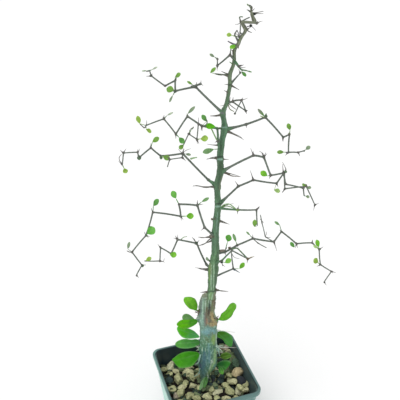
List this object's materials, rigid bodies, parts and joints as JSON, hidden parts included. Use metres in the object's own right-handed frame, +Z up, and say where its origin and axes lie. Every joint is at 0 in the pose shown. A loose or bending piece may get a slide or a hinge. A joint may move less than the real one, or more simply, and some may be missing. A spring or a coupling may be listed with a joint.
{
  "type": "potted zig zag plant",
  "caption": "Zigzag shrub with thorny, sharply turning branches and small round leaves, grafted on a spiny rootstock, in a square pot of gravel.",
  "frame": {"origin": "centre of the pot's flat underside", "axes": "+Z up along the stem, X and Y square to the pot's walls; the pictured side faces -Y, turned 18 degrees towards -X"},
  "size_m": [0.1962, 0.1074, 0.448],
  "materials": {
    "pot": "dark green injection moulded plastic, slightly scuffed rim",
    "soil": "dark moist potting mix",
    "gravel": "dry beige pumice with a few dark lava stones",
    "rootstock": "blue-grey waxy bark with brown cork at the graft",
    "leaf": "fleshy green leaves with a soft gloss",
    "trunk": "mottled green bark with pale streaks",
    "branch": "dark grey-green to purple-brown bark"
  },
  "bodies": {
    "root": {"pot": "pot", "soil": "soil", "gravel": "gravel", "rootstock_stem": "rootstock", "rootstock_leaf_01": "leaf", "rootstock_leaf_02": "leaf", "rootstock_leaf_03": "leaf", "rootstock_leaf_04": "leaf", "rootstock_leaf_05": "leaf", "rootstock_leaf_06": "leaf", "rootstock_leaf_07": "leaf", "rootstock_leaf_08": "leaf", "rootstock_leaf_09": "leaf", "rootstock_leaf_10": "leaf", "rootstock_leaf_11": "leaf", "rootstock_leaf_12": "leaf", "rootstock_leaf_13": "leaf", "rootstock_leaf_14": "leaf", "scion_trunk": "trunk", "branch_left_1": "branch", "branch_left_2": "branch", "branch_left_3": "branch", "branch_left_4": "branch", "branch_left_5": "branch", "branch_left_6": "branch", "branch_right_1": "branch", "branch_right_2": "branch", "branch_right_3": "branch", "branch_right_4": "branch", "branch_right_5": "branch", "branch_right_6": "branch", "branch_right_7": "branch", "branch_right_8": "branch", "branch_right_9": "branch", "branch_right_10": "branch"}
  },
  "joints": []
}
